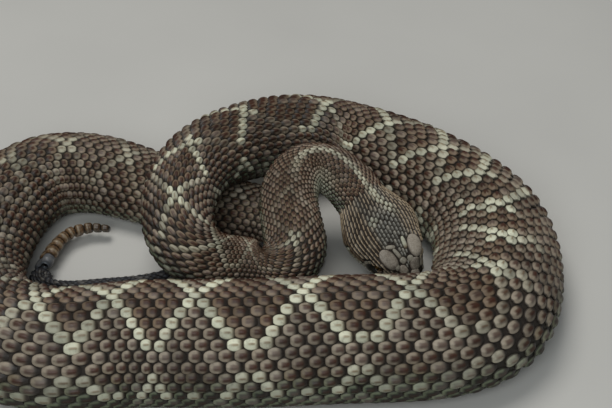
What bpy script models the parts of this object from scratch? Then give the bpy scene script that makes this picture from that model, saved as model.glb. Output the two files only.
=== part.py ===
"""South American rattlesnake at rest, life size: a coiled body on the floor, the neck in an S on top of it,
the head laid inside the coil and the rattle curled up behind. Metres, +Z up, the floor at z = 0."""

from math import cos, pi, radians, sin

import bmesh
import bpy
import numpy as np
from mathutils import Matrix

MM = 0.001
GAP = 0.3

# The belly line from the nape to the tail's tip: x, y and the height of the belly over the floor, in mm.
ROUTE = [
    (65, 12, 33), (57, 22, 38), (42, 30, 40), (31, 21, 40), (27, 3, 37), (30, -15, 32), (33, -27, 26),
    (24, -30, 19), (3, -27, 16), (-16, -29, 21), (-28, -22, 28), (-31, -5, 34), (-28, 18, 35), (-18, 38, 33),
    (1, 62, 23), (28, 84, 10), (56, 88, 2), (90, 70, 0), (118, 43, 0), (136, 12, 0), (137, -26, 0),
    (126, -60, 0), (99, -73, 0), (53, -76, 0), (3, -79, 0), (-46, -79, 0), (-89, -83, 0), (-124, -66, 0),
    (-141, -27, 0), (-135, 23, 0), (-116, 57, 0), (-88, 65, 0), (-59, 56, 0), (-28, 42, 0), (-3, 35, 0),
    (16, 31, 0), (30, 21, 0), (32, 6, 0), (15, -7, 0), (-4, -12, 0), (-28, -18, 0), (-53, -23, 0),
    (-73, -23, 0), (-90, -24, 0), (-102, -21, 0), (-109, -15, 0), (-106.5, -7.5, 0),
]
# Moves the whole animal so that its box is centred on the origin.
CENTRE = (-0.53, 0.27)
FINE_STEP = 2.0
SMOOTHING = 24
RING_STEP = 10.0
SIDES = 20

# Distance from the nape, half width and height of the body, in mm.
GIRTH = [
    (0, 14.4, 20.5), (50, 14.6, 24.0), (85, 16.4, 25.5), (105, 16.0, 26.0), (135, 15.6, 26.5),
    (200, 20.0, 33.0), (260, 23.4, 38.5), (340, 26.8, 43.0), (440, 32.0, 49.0), (490, 34.2, 51.5),
    (540, 33.0, 53.0), (640, 32.6, 54.0), (740, 31.5, 53.0), (840, 28.0, 47.0), (920, 25.5, 38.0),
    (1000, 21.0, 31.0), (1060, 16.0, 24.5), (1110, 11.5, 17.5), (1170, 8.0, 12.5), (1225, 5.5, 9.2),
]
GIRTH_SMOOTHING = 6
# The axis of a section lies this share of the height over the belly, and the flanks bulge below it.
AXIS_SHARE = 0.45
LOW_BULGE = 1.2
FLANK_DROP = 0.07
SPINE_RIDGE = 0.02

# The body's named lengths, each from the end of the one before it to this distance, in mm.
LENGTHS = [
    ("neck_front", 46), ("neck_back", 120), ("body_1", 180), ("body_2", 260), ("body_3", 360),
    ("body_4", 460), ("body_5", 550), ("body_6", 640), ("body_7", 740), ("body_8", 830), ("body_9", 920),
    ("body_10", 1000), ("tail_root", 1055), ("tail_bend", 1105), ("tail", 1300),
]

# The head: snout tip, and sections by share of the length, half width, top, bottom and squareness.
SNOUT = (92.5, -19.7, 9.0)
HEAD = [
    (0.00, 14.4, 11.3, 9.2, 1.00), (0.12, 17.6, 11.8, 9.6, 0.95), (0.28, 20.6, 12.6, 10.6, 0.86),
    (0.42, 20.6, 12.6, 11.2, 0.80), (0.56, 18.3, 11.8, 10.8, 0.78), (0.70, 15.2, 10.6, 9.8, 0.78),
    (0.82, 12.4, 8.6, 8.8, 0.76), (0.92, 9.6, 6.6, 7.6, 0.74), (0.98, 7.4, 5.0, 6.4, 0.76),
    (1.00, 4.6, 3.2, 4.6, 0.85),
]
HEAD_TURN = 0.35
# How far the head leans over to its right, in degrees.
HEAD_ROLL = 12
HEAD_SIDES = 28

# The line of the mouth and the back of the jaw, as share of the head's length and height in mm.
MOUTH = [(1.10, -2.6), (0.92, -2.9), (0.74, -4.2), (0.52, -4.0), (0.30, -1.6), (0.20, -18.0), (1.10, -18.0)]
EYE_RADIUS = 3.4
EYE_PLACE = (0.69, 11.4, 3.8)
PIT_RADIUS = 1.5
PIT_PLACE = (0.855, 11.0, 0.6)
NOSTRIL_RADIUS = 1.2
NOSTRIL_PLACE = (0.95, 8.2, 2.4)
# Plates of the crown: share of the length, side, height, half length, half width, half thickness, yaw and roll.
PLATES = {
    "supraocular": (0.680, 9.7, 8.3, 6.8, 4.5, 1.6, 12, 20),
    "canthal": (0.845, 6.0, 6.9, 3.3, 2.8, 1.3, 10, 14),
    "internasal": (0.925, 3.0, 5.9, 2.9, 2.8, 1.1, 0, 8),
    "nasal": (0.950, 7.3, 2.6, 2.6, 1.3, 2.3, 24, 0),
}
ROSTRAL_PLACE = (0.985, 0, -0.4)
ROSTRAL_SIZE = (1.5, 3.2, 2.6)
LIP_SCALES = 7
LIP_SPAN = (0.40, 0.95)
LIP_SIZE = (2.9, 1.3, 1.9)
LIP_YAW = 26
LIP_SINK = 0.75

# The rattle's axis from its first segment to its tip: x and y in mm.
RATTLE_ROUTE = [
    (-106, -6), (-104.5, 1.5), (-102, 10), (-99, 17), (-94.5, 22.5), (-88, 25.5), (-83.5, 27), (-78, 26.5),
    (-73, 26),
]
RATTLE_HEIGHT = 7.6
SEGMENTS = 9
# Half height and half thickness of the first segment and of the last one.
SEGMENT_FIRST = (6.3, 3.7)
SEGMENT_LAST = (3.4, 2.2)
RATTLE_LEAN = 40
RATTLE_SIDES = 12
# A segment's outline along its length: share of its length and share of its size.
BELL = [(0.0, 0.62), (0.12, 0.90), (0.40, 1.0), (0.72, 0.93), (0.92, 0.74)]


def clear_scene():
    for thing in list(bpy.data.objects):
        bpy.data.objects.remove(thing, do_unlink=True)


def smooth(values, passes):
    values = values.copy()
    for _ in range(passes):
        values[1:-1] = 0.25 * values[:-2] + 0.5 * values[1:-1] + 0.25 * values[2:]
    return values


def through(points, steps=16):
    """A Catmull-Rom curve through the points."""
    points = np.array(points, float)
    points = np.vstack([2 * points[0] - points[1], points, 2 * points[-1] - points[-2]])
    t = np.linspace(0, 1, steps, endpoint=False)[:, None]
    spans = []
    for a, b, c, d in zip(points, points[1:], points[2:], points[3:]):
        spans.append(b + 0.5 * t * (c - a + t * (2 * a - 5 * b + 4 * c - d + t * (3 * b - 3 * c + d - a))))
    spans.append(points[-2][None])
    return np.vstack(spans)


def spaced(curve, step):
    """The curve's points at an even spacing, and their distances along it."""
    along = np.r_[0, np.cumsum(np.linalg.norm(np.diff(curve, axis=0), axis=1))]
    at = np.linspace(0, along[-1], int(along[-1] / step) + 1)
    return np.stack([np.interp(at, along, curve[:, k]) for k in range(3)], axis=-1), at


def unit(vectors):
    return vectors / np.linalg.norm(vectors, axis=-1, keepdims=True)


def body_frames(step):
    """Distance, belly point, direction, up, side, half width and height at even steps from nape to tail tip."""
    route = np.array(ROUTE, float) + (*CENTRE, 0)
    fine, _ = spaced(through(route), FINE_STEP)
    line, along = spaced(smooth(fine, SMOOTHING), step)
    tangent = unit(np.gradient(line, axis=0))
    up = unit(np.array([0, 0, 1.0]) - tangent * tangent[:, 2:3])
    side = np.cross(tangent, up)
    girth = np.array(GIRTH, float)
    width = smooth(np.interp(along, girth[:, 0], girth[:, 1]), GIRTH_SMOOTHING)
    height = smooth(np.interp(along, girth[:, 0], girth[:, 2]), GIRTH_SMOOTHING)
    return along, line, tangent, up, side, width, height


def body_section(width, height):
    """Sideways and upward offsets from the axis, round the body from the spine, flat under the belly."""
    turn = np.linspace(0, 2 * pi, SIDES, endpoint=False)
    low = AXIS_SHARE * height
    high = height - low
    across = width * np.sin(turn) * (1 - FLANK_DROP * np.cos(turn))
    rise = np.where(np.cos(turn) > 0, high, low * LOW_BULGE) * np.cos(turn)
    rise[0] += SPINE_RIDGE * height
    return across, np.maximum(rise, -low)


def body_rings(step):
    along, line, tangent, up, side, width, height = body_frames(step)
    rings = []
    for k in range(len(along)):
        across, rise = body_section(width[k], height[k])
        axis = line[k] + up[k] * AXIS_SHARE * height[k]
        rings.append(axis + np.outer(across, side[k]) + np.outer(rise, up[k]))
    rings = np.array(rings)
    rings[:, :, 2] = np.maximum(rings[:, :, 2], 0)
    return along, rings, tangent


def new_object(name, mesh, colour, roughness, group):
    thing = bpy.data.objects.new(name, mesh)
    group.objects.link(thing)
    material = bpy.data.materials.new(name)
    material.use_nodes = True
    shader = material.node_tree.nodes["Principled BSDF"]
    shader.inputs["Base Color"].default_value = (*colour, 1)
    shader.inputs["Roughness"].default_value = roughness
    shader.inputs["Metallic"].default_value = 0
    mesh.materials.clear()
    mesh.materials.append(material)
    return thing


def loft(name, rings):
    """A closed mesh through rings of equal count, given in mm, with flat ends."""
    work = bmesh.new()
    rows = [[work.verts.new(point * MM) for point in ring] for ring in rings]
    count = len(rows[0])
    for near, far in zip(rows, rows[1:]):
        for k in range(count):
            after = (k + 1) % count
            work.faces.new((near[k], near[after], far[after], far[k]))
    work.faces.new(rows[0][::-1])
    work.faces.new(rows[-1])
    bmesh.ops.recalc_face_normals(work, faces=work.faces)
    mesh = bpy.data.meshes.new(name)
    work.to_mesh(mesh)
    work.free()
    mesh.shade_smooth()
    return mesh


def body_lengths(group):
    """The neck, body and tail as lengths that part by a narrow gap square to the spine."""
    along, rings, tangent = body_rings(RING_STEP)
    start = 0
    for name, end_distance in LENGTHS:
        end = min(int(np.searchsorted(along, end_distance)), len(along) - 1)
        part = rings[start:end + 1].copy()
        part[0] += tangent[start] * GAP / 2
        part[-1] -= tangent[end] * GAP / 2
        new_object(name, loft(name, part), (0.16, 0.11, 0.075), 0.45, group)
        start = end


def head_frame():
    """Nape, length and axes (forward, left, up) of the head, and the direction out of the neck."""
    _, line, tangent, up, _, _, height = body_frames(RING_STEP)
    nape = line[0] + up[0] * AXIS_SHARE * height[0]
    snout = np.array(SNOUT) + (*CENTRE, 0)
    length = np.linalg.norm(snout - nape)
    forward = (snout - nape) / length
    level = unit(np.cross((0, 0, 1.0), forward))
    left = level * cos(radians(HEAD_ROLL)) + np.cross(forward, level) * sin(radians(HEAD_ROLL))
    return nape, length, forward, left, np.cross(forward, left), -tangent[0], up[0]


def head_rings():
    nape, length, forward, left, crown, out, neck_up = head_frame()
    rings = []
    for share, width, top, bottom, power in HEAD:
        blend = min(share / HEAD_TURN, 1)
        blend = blend * blend * (3 - 2 * blend)
        aim = unit(out * (1 - blend) + forward * blend)
        upward = neck_up * (1 - blend) + crown * blend
        upward = unit(upward - aim * (upward @ aim))
        sideways = np.cross(upward, aim)
        centre = nape + forward * length * share + aim * (GAP if share == 0 else 0)
        turn = np.linspace(0, 2 * pi, HEAD_SIDES, endpoint=False)
        across = width * np.sign(np.sin(turn)) * np.abs(np.sin(turn)) ** power
        rise = np.where(np.cos(turn) > 0, top, bottom) * np.sign(np.cos(turn)) * np.abs(np.cos(turn)) ** power
        rings.append(centre + np.outer(across, sideways) + np.outer(rise, upward))
    return rings


def head_matrix():
    nape, _, forward, left, crown, _, _ = head_frame()
    matrix = Matrix.Identity(4)
    for row in range(3):
        matrix[row][:] = (forward[row], left[row], crown[row], nape[row] * MM)
    return matrix


def ball(name, place, radii, group, segments=10, rows=6, yaw=0.0, roll=0.0):
    """An ellipsoid at a place in the head's own frame: share of the length, left and up."""
    work = bmesh.new()
    bmesh.ops.create_uvsphere(work, u_segments=segments, v_segments=rows, radius=1)
    mesh = bpy.data.meshes.new(name)
    work.to_mesh(mesh)
    work.free()
    length = head_frame()[1]
    spot = Matrix.Translation((place[0] * length * MM, place[1] * MM, place[2] * MM))
    size = Matrix.Diagonal((radii[0] * MM, radii[1] * MM, radii[2] * MM, 1))
    turn = Matrix.Rotation(radians(yaw), 4, "Z") @ Matrix.Rotation(radians(roll), 4, "X")
    mesh.transform(head_matrix() @ spot @ turn @ size)
    mesh.shade_smooth()
    thing = bpy.data.objects.new(name, mesh)
    group.objects.link(thing)
    return thing


def jaw_wedge(name, grow, group):
    """A block below the mouth's line, as wide as the head."""
    length = head_frame()[1]
    work = bmesh.new()
    outline = []
    for k, (share, rise) in enumerate(MOUTH):
        forward = share * length - (grow if k in (4, 5) else 0)
        outline.append(work.verts.new((forward * MM, -0.03, (rise + (grow if k < 5 else 0)) * MM)))
    face = work.faces.new(outline)
    swept = bmesh.ops.extrude_face_region(work, geom=[face])["geom"]
    moved = [v for v in swept if isinstance(v, bmesh.types.BMVert)]
    bmesh.ops.translate(work, verts=moved, vec=(0, 0.06, 0))
    bmesh.ops.recalc_face_normals(work, faces=work.faces)
    mesh = bpy.data.meshes.new(name)
    work.to_mesh(mesh)
    work.free()
    mesh.transform(head_matrix())
    thing = bpy.data.objects.new(name, mesh)
    group.objects.link(thing)
    return thing


def combine(thing, group, operation):
    """Applies one Boolean with all of the group's objects, which are then removed."""
    modifier = thing.modifiers.new(operation, "BOOLEAN")
    modifier.operation = operation
    modifier.operand_type = "COLLECTION"
    modifier.collection = group
    graph = bpy.context.evaluated_depsgraph_get()
    mesh = bpy.data.meshes.new_from_object(thing.evaluated_get(graph))
    thing.modifiers.clear()
    thing.data = mesh
    for piece in list(group.objects):
        bpy.data.objects.remove(piece, do_unlink=True)


def keep_largest(thing):
    """Keeps the largest closed surface of the mesh."""
    work = bmesh.new()
    work.from_mesh(thing.data)
    left = set(work.verts)
    pieces = []
    while left:
        piece = set()
        front = [left.pop()]
        while front:
            vert = front.pop()
            piece.add(vert)
            for edge in vert.link_edges:
                other = edge.other_vert(vert)
                if other in left:
                    left.remove(other)
                    front.append(other)
        pieces.append(piece)
    pieces.sort(key=len)
    spare = [vert for piece in pieces[:-1] for vert in piece]
    bmesh.ops.delete(work, geom=spare, context="VERTS")
    work.to_mesh(thing.data)
    work.free()


def surface_side(share, rise):
    """Half width of the head at this share of its length and this height."""
    table = np.array(HEAD)
    width, top, bottom, power = (np.interp(share, table[:, 0], table[:, k]) for k in (1, 2, 3, 4))
    turn = min(abs(rise) / (top if rise > 0 else bottom), 1) ** (1 / power)
    return width * (1 - turn * turn) ** (power / 2)


def mouth_rise(share):
    line = sorted(MOUTH[:5])
    return float(np.interp(share, [p[0] for p in line], [p[1] for p in line]))


def add_head_scales(group):
    """Plates of the crown and the rows of lip scales, as pieces that are then fused to the head."""
    for name, (share, side, rise, half_length, half_width, half_thick, yaw, roll) in PLATES.items():
        for hand in (-1, 1):
            place = (share, side * hand, rise)
            ball(name, place, (half_length, half_width, half_thick), group, 10, 6, -hand * yaw, -hand * roll)
    ball("rostral", ROSTRAL_PLACE, ROSTRAL_SIZE, group, 10, 6)
    for k in range(LIP_SCALES):
        share = LIP_SPAN[0] + (LIP_SPAN[1] - LIP_SPAN[0]) * (k + 0.5) / LIP_SCALES
        for hand in (-1, 1):
            for level in (-1, 1):
                rise = mouth_rise(share) + level * (LIP_SIZE[2] + GAP)
                side = surface_side(share, rise) - LIP_SIZE[1] * LIP_SINK
                ball("lip", (share, side * hand, rise), LIP_SIZE, group, 8, 4, -hand * LIP_YAW)


def head_and_jaw(group, pieces):
    head = new_object("head", loft("head", head_rings()), (0.19, 0.14, 0.10), 0.45, group)
    add_head_scales(pieces)
    combine(head, pieces, "UNION")
    for hand in (-1, 1):
        eye = (EYE_PLACE[0], EYE_PLACE[1] * hand, EYE_PLACE[2])
        ball("socket", eye, [EYE_RADIUS + GAP] * 3, pieces, 16, 10)
        pit = (PIT_PLACE[0], PIT_PLACE[1] * hand, PIT_PLACE[2])
        ball("pit", pit, (PIT_RADIUS, PIT_RADIUS * 1.2, PIT_RADIUS), pieces, 10, 6)
        nostril = (NOSTRIL_PLACE[0], NOSTRIL_PLACE[1] * hand, NOSTRIL_PLACE[2])
        ball("nostril", nostril, (NOSTRIL_RADIUS, NOSTRIL_RADIUS * 1.2, NOSTRIL_RADIUS), pieces, 8, 5)
    combine(head, pieces, "DIFFERENCE")
    jaw = new_object("lower_jaw", head.data.copy(), (0.34, 0.30, 0.20), 0.45, group)
    jaw_wedge("jaw_block", 0.0, pieces)
    combine(jaw, pieces, "INTERSECT")
    jaw_wedge("jaw_space", GAP, pieces)
    combine(head, pieces, "DIFFERENCE")
    keep_largest(head)
    keep_largest(jaw)


def eyes(group):
    for name, hand in (("eye_left", 1), ("eye_right", -1)):
        place = (EYE_PLACE[0], EYE_PLACE[1] * hand, EYE_PLACE[2])
        eye = ball(name, place, [EYE_RADIUS] * 3, group, 16, 10)
        mesh = eye.data
        bpy.data.objects.remove(eye, do_unlink=True)
        new_object(name, mesh, (0.10, 0.07, 0.03), 0.08, group)


def rattle_rings():
    """Rings of the rattle: bell-shaped segments, each with a groove along its side."""
    route = np.array([(x, y, RATTLE_HEIGHT) for x, y in RATTLE_ROUTE], float) + (*CENTRE, 0)
    line, along = spaced(smooth(spaced(through(route), 0.5)[0], 30), 0.5)
    tangent = unit(np.gradient(line, axis=0))
    turn = np.linspace(0, 2 * pi, RATTLE_SIDES, endpoint=False)
    lean = radians(RATTLE_LEAN)
    sizes = np.linspace(1.0, 0.62, SEGMENTS)
    ends = np.r_[0, np.cumsum(sizes)] / sizes.sum() * along[-1]
    rings = []
    for k in range(SEGMENTS):
        share = k / (SEGMENTS - 1)
        tall = SEGMENT_FIRST[0] * (1 - share ** 1.6) + SEGMENT_LAST[0] * share ** 1.6
        thick = SEGMENT_FIRST[1] * (1 - share ** 1.6) + SEGMENT_LAST[1] * share ** 1.6
        for place, size in BELL:
            at = ends[k] + (ends[k + 1] - ends[k]) * place
            centre = np.array([np.interp(at, along, line[:, axis]) for axis in range(3)])
            aim = unit(np.array([np.interp(at, along, tangent[:, axis]) for axis in range(3)]))
            flat_side = np.cross(aim, (0, 0, 1.0))
            long_side = np.array((0, 0, 1.0)) * cos(lean) + flat_side * sin(lean)
            short_side = np.cross(aim, long_side)
            groove = 1 - 0.3 * np.abs(np.sin(turn)) ** 6
            out_long = tall * size * np.cos(turn)
            out_short = thick * size * np.sin(turn) * groove
            rings.append(centre + np.outer(out_long, long_side) + np.outer(out_short, short_side))
    return rings


def rattle(group):
    new_object("rattle", loft("rattle", rattle_rings()), (0.20, 0.14, 0.08), 0.35, group)


def main():
    clear_scene()
    snake = bpy.data.collections.new("rattlesnake")
    pieces = bpy.data.collections.new("pieces")
    for group in (snake, pieces):
        bpy.context.scene.collection.children.link(group)
    body_lengths(snake)
    head_and_jaw(snake, pieces)
    eyes(snake)
    rattle(snake)


main()
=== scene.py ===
"""Looks of the south american rattlesnake: one skin, its coat of scales, the head's plates, eyes and rattle.

Tables are in millimetres, as in the part's source, and meshes in metres. A distance runs along the animal
from the nape, negative to the snout and positive to the tail's tip. A place round it is a share of the girth
from the spine: 0 on the spine, +0.5 and -0.5 under the belly. A hand is 1 for the left and -1 for the right.
"""

from math import cos, pi, radians, sin

import bpy
import numpy as np
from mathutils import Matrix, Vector
from mathutils.bvhtree import BVHTree


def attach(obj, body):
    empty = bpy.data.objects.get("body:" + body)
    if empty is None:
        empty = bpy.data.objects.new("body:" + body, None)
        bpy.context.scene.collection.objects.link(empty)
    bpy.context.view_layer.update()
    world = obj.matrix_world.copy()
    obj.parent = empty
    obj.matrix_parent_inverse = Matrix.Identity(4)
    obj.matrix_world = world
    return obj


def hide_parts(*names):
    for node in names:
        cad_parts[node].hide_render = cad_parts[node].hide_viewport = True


MM = 0.001

# The belly line from the nape to the tail's tip: x, y and the height of the belly over the floor.
ROUTE = [
    (65, 12, 33), (57, 22, 38), (42, 30, 40), (31, 21, 40), (27, 3, 37), (30, -15, 32), (33, -27, 26),
    (24, -30, 19), (3, -27, 16), (-16, -29, 21), (-28, -22, 28), (-31, -5, 34), (-28, 18, 35), (-18, 38, 33),
    (1, 62, 23), (28, 84, 10), (56, 88, 2), (90, 70, 0), (118, 43, 0), (136, 12, 0), (137, -26, 0),
    (126, -60, 0), (99, -73, 0), (53, -76, 0), (3, -79, 0), (-46, -79, 0), (-89, -83, 0), (-124, -66, 0),
    (-141, -27, 0), (-135, 23, 0), (-116, 57, 0), (-88, 65, 0), (-59, 56, 0), (-28, 42, 0), (-3, 35, 0),
    (16, 31, 0), (30, 21, 0), (32, 6, 0), (15, -7, 0), (-4, -12, 0), (-28, -18, 0), (-53, -23, 0),
    (-73, -23, 0), (-90, -24, 0), (-102, -21, 0), (-109, -15, 0), (-106.5, -7.5, 0),
]
# The shift that brings the coil's middle over the origin, and step and spread of the smoothed line.
CENTRE = (-0.53, 0.27)
LINE_STEP = 2.0
LINE_SPREAD = 6.9

# Distance from the nape, half width and height of the body, and the spread that smooths them.
GIRTH = [
    (0, 14.4, 20.5), (50, 14.6, 24.0), (85, 16.4, 25.5), (105, 16.0, 26.0), (135, 15.6, 26.5),
    (200, 20.0, 33.0), (260, 23.4, 38.5), (340, 26.8, 43.0), (440, 32.0, 49.0), (490, 34.2, 51.5),
    (540, 33.0, 53.0), (640, 32.6, 54.0), (740, 31.5, 53.0), (840, 28.0, 47.0), (920, 25.5, 38.0),
    (1000, 21.0, 31.0), (1060, 16.0, 24.5), (1110, 11.5, 17.5), (1170, 8.0, 12.5), (1225, 5.5, 9.2),
]
GIRTH_SPREAD = 17.3
# How far the turn of the sections is smoothed along the line, and the tightest bends, where it is smoothed
# further: middle, reach and spread.
WAY_SPREAD = 3.0
TIGHT_BEND = (122, 55, 13.0)
# Height of the axis over the belly as a share of the body's height, how deep the lower half would be if the
# flat belly did not cut it off, and how much the body narrows upward.
AXIS_SHARE = 0.45
LOW_BULGE = 1.2
FLANK_DROP = 0.07
# The ridge along the spine: share of the body's height, and reach round the section in radians.
SPINE_RIDGE = 0.02
RIDGE_REACH = 0.16

# The head: snout tip, and sections by share of the length, half width, top, bottom and squareness.
SNOUT = (92.5, -19.7, 9.0)
HEAD = [
    (0.00, 14.4, 11.3, 9.2, 1.00), (0.12, 17.6, 11.8, 9.6, 0.95), (0.28, 20.5, 12.6, 10.6, 0.86),
    (0.42, 20.4, 12.6, 11.2, 0.80), (0.56, 18.0, 11.8, 10.8, 0.78), (0.70, 15.0, 10.6, 9.8, 0.78),
    (0.82, 12.4, 8.6, 8.8, 0.76), (0.92, 9.9, 6.9, 7.8, 0.76), (1.00, 8.6, 6.0, 7.0, 0.80),
]
# Shares of the head's length: where the snout begins to round off, and how far the neck's way turns into
# the head's.
SNOUT_ROUND = 0.925
HEAD_TURN = 0.35
# How far the head leans over to its right, in degrees.
HEAD_ROLL = 12
# How far before the nape the body's section turns into the head's, and how far the axis is smoothed there.
NAPE_BLEND = 14.0
NAPE_SPREAD = 4.0

# The line of the mouth: share of the head's length and height. Its groove: half width and depth.
MOUTH = [(0.30, -1.6), (0.52, -4.0), (0.74, -4.2), (0.92, -2.9), (1.10, -2.6)]
LIP_GROOVE = (0.5, 0.8)
# The eye: share of the head's length, distance from the head's middle and height.
EYE_PLACE = (0.69, 11.4, 3.8)
EYE_RADIUS = 3.4
# The eye's vertices from pole to pole and round.
EYE_STEPS = (24, 40)
# The socket's depth and the radii between which it fades out. The lid: height, radius and half width.
SOCKET_DEPTH = 2.4
SOCKET_EDGE = (2.4, 3.9)
LID = (0.5, 4.2, 0.8)
# The brow ridge: share of the length, height, reach along, reach up and down, and how far it stands out.
BROW = (0.680, 8.9, 7.5, 1.9, 1.9)
# The radii between which the brow sets in round the eye.
BROW_EDGE = (2.8, 4.4)
# Pit and nostril: share of the length, height, depth, and the radii between which each fades out.
PIT = (0.855, 0.6, 2.2, 0.6, 1.9)
NOSTRIL = (0.95, 2.4, 1.4, 0.4, 1.3)

# The rattle's axis from its first segment to its tip.
RATTLE_ROUTE = [
    (-106, -6), (-104.5, 1.5), (-102, 10), (-99, 17), (-94.5, 22.5), (-88, 25.5), (-83.5, 27), (-78, 26.5),
    (-73, 26),
]
RATTLE_HEIGHT = 7.6
RATTLE_STEP = 0.5
RATTLE_SPREAD = 1.94
# The segments: their number, half height and half thickness of the first and the last, and the last one's
# length beside the first one's.
SEGMENTS = 9
SEGMENT_FIRST = (6.7, 4.3)
SEGMENT_LAST = (3.6, 2.4)
SEGMENT_SHORTER = 0.62
# How far the rattle leans over, in degrees, and the depth of the groove along its sides, as a share.
RATTLE_LEAN = 40
RATTLE_GROOVE = 0.34
RATTLE_ROUND = 48
# A segment's outline along its length: share of its length and share of its size.
BELL = [
    (0.00, 0.56), (0.03, 0.74), (0.09, 0.88), (0.18, 0.965), (0.30, 1.0), (0.42, 0.985), (0.50, 0.955),
    (0.58, 0.965), (0.70, 0.955), (0.80, 0.90), (0.88, 0.80), (0.94, 0.68), (0.985, 0.58),
]

# The surface is held on a grid of this step along, and this many places round, which are spaced evenly from
# this many points of the section.
GRID_STEP = 0.25
GRID_ROUND = 192
SECTION_POINTS = 481
# Steps along and round to the neighbours of a place that give its normal.
NORMAL_STEPS = (0.8, 0.006)

# Distance and length of one back scale's turn in its row.
PITCH = [
    (-52, 2.2), (-36, 2.4), (-20, 2.7), (0, 3.0), (60, 3.4), (85, 3.2), (115, 3.4), (150, 4.8), (200, 5.4),
    (250, 6.6), (300, 7.3), (350, 7.6), (760, 7.4), (880, 6.9), (940, 6.3), (1000, 5.8), (1060, 5.2),
    (1110, 4.4), (1225, 3.4),
]
# Step and spread of the smoothed count of turns.
COUNT_STEP = 0.5
COUNT_SPREAD = 7.0
# Distance and rows of scales to one side of the spine row.
ROWS = [
    (-52, 21), (-14, 19), (12, 16), (100, 15), (200, 13.5), (300, 13), (700, 13), (1000, 11), (1100, 8.5),
    (1225, 7),
]
# Distance and the share of the girth at which the belly's plates begin.
BELLY_EDGE = [(-52, 0.36), (-20, 0.37), (0, 0.385), (1225, 0.385)]
# Distance and the shift of the spine row round the body, in rows.
ROLL = [
    (0, 0), (430, -0.2), (480, 0), (510, 0.5), (549, 0.9), (580, 0.9), (628, 0.6), (672, 0.45), (715, 0.8),
    (760, 0.5), (900, 0),
]
# Rows to each side of the spine row in which scales are looked for, on the body and on the head.
BODY_ROWS = 18
HEAD_ROWS = 30

# Points on the spine where two diamonds meet: distance, scales from here to the next, and how pale are the
# borders from here to the next and the patch at this point.
DIAMONDS = [
    (62, 7, 0.12, 0.2), (86, 10, 0.2, 0.7), (117, 7, 0.3, 0.4), (146, 6, 0.5, 0.6), (176, 6, 0.8, 1.0),
    (205, 6, 0.85, 0.8), (243, 8, 0.85, 0.8), (300, 7, 0.9, 0.8), (350, 5, 0.75, 0.5), (390, 4, 0.75, 0.6),
    (420.5, 4, 0.8, 0.6), (449.5, 4, 0.7, 0.9), (476, 4, 0.6, 1.0), (501, 7, 0.7, 0.8), (549, 7, 1.0, 1.0),
    (603, 7, 1.0, 1.0), (655, 6, 1.0, 1.0), (695.5, 5, 0.9, 1.0), (733, 5, 0.6, 0.8), (770, 5, 0.35, 0.5),
    (806, 5, 0.25, 0.4), (842, 6, 0.2, 0.4), (883, 5, 0.25, 0.5), (918.5, 6, 0.25, 0.5), (954, 6, 0.2, 0.45),
    (990, 6, 0.15, 0.3), (1022, 5, 0.1, 0.2), (1048, 5, 0.05, 0.1),
]
# The neck's pale line along the spine: distance, row and paleness.
NECK_LINE = [
    (-16, 4.6, 0.0), (-11, 3.4, 0.7), (-6, 1.6, 0.8), (5, 0.6, 0.9), (15, 0.8, 0.9), (25, 0.6, 0.9),
    (36, -0.6, 0.8), (46, -1.0, 0.5), (58, -1.5, 0.0),
]
# How brown the scales between the diamonds are at least: distance and share.
BROWN = [
    (0, 1.0), (130, 1.0), (200, 0.75), (300, 0.6), (460, 0.6), (530, 0.1), (740, 0.1), (820, 0.75),
    (1060, 0.75),
]
# How pale the border that runs tailward from a meeting is beside the one that runs headward.
TAILWARD_BORDER = [
    (0, 0.9), (160, 0.8), (185, 0.45), (205, 0.12), (290, 0.12), (320, 0.35), (350, 0.5), (400, 0.35),
    (430, 0.1), (500, 0.1), (540, 0.8), (740, 0.85), (800, 0.6), (1050, 0.6),
]
# Lengths where the headward border runs straight across, on the left and on the right of the spine.
STRAIGHT_LEFT = (435, 460)
STRAIGHT_RIGHT = (455, 515)
# The outer side of the right bend, where the borders fade: middle and half length.
FADED_BEND = (500, 55)
# Rows from the spine to a diamond's corner at the side, rows of the second series of pale scales, and rows
# over which the low flank's colours, darkened with painted shade of the lower side, set in.
DIAMOND_ROWS = 5
SECOND_ROWS = (7.4, 11)
LOW_ROWS = (7.2, 10.0)
# Distances over which the tail turns dark.
TAIL_DARK = (1045, 1090)

# The skin lies this deep under the surface where a scale has its full size, and the scales stand on it.
FULL_PITCH = 7.8
SKIN_DEPTH = 1.1
# The skin's rings: their spacing on the head and on the body, and how many vertices each has.
HEAD_STEP = 0.5
BODY_STEP = 3.5
SKIN_ROUND = 192
# How many rings behind the nape the head's plates may lie on.
NAPE_RINGS = 4
# Least heights of the skin and of the scales over the floor.
SKIN_FLOOR = 0.2
SCALE_FLOOR = 0.03
# Spacing of the belly's plates beside the length of a back scale's turn.
SCUTE_PITCH = 0.92
# Places of the vertices along a scale and beside its middle, by how finely it is made.
GRIDS = {
    "fine": ([0, 0.10, 0.22, 0.36, 0.50, 0.63, 0.75, 0.86, 0.94, 0.985], [0.2, 0.5, 0.78, 0.95]),
    "middle": ([0, 0.14, 0.32, 0.50, 0.68, 0.84, 0.96], [0.22, 0.6, 0.93]),
    "small": ([0, 0.2, 0.42, 0.64, 0.85, 0.97], [0.3, 0.85]),
}
# Name, start and end of each length of the coat, and how finely its scales are made.
COATS = [
    ("scales_neck", 0, 120, "small"), ("scales_1", 120, 240, "middle"), ("scales_2", 240, 370, "fine"),
    ("scales_3", 370, 490, "fine"), ("scales_4", 490, 610, "fine"), ("scales_5", 610, 730, "fine"),
    ("scales_6", 730, 860, "fine"), ("scales_7", 860, 1000, "middle"), ("scales_tail", 1000, 1222, "small"),
]

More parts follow.
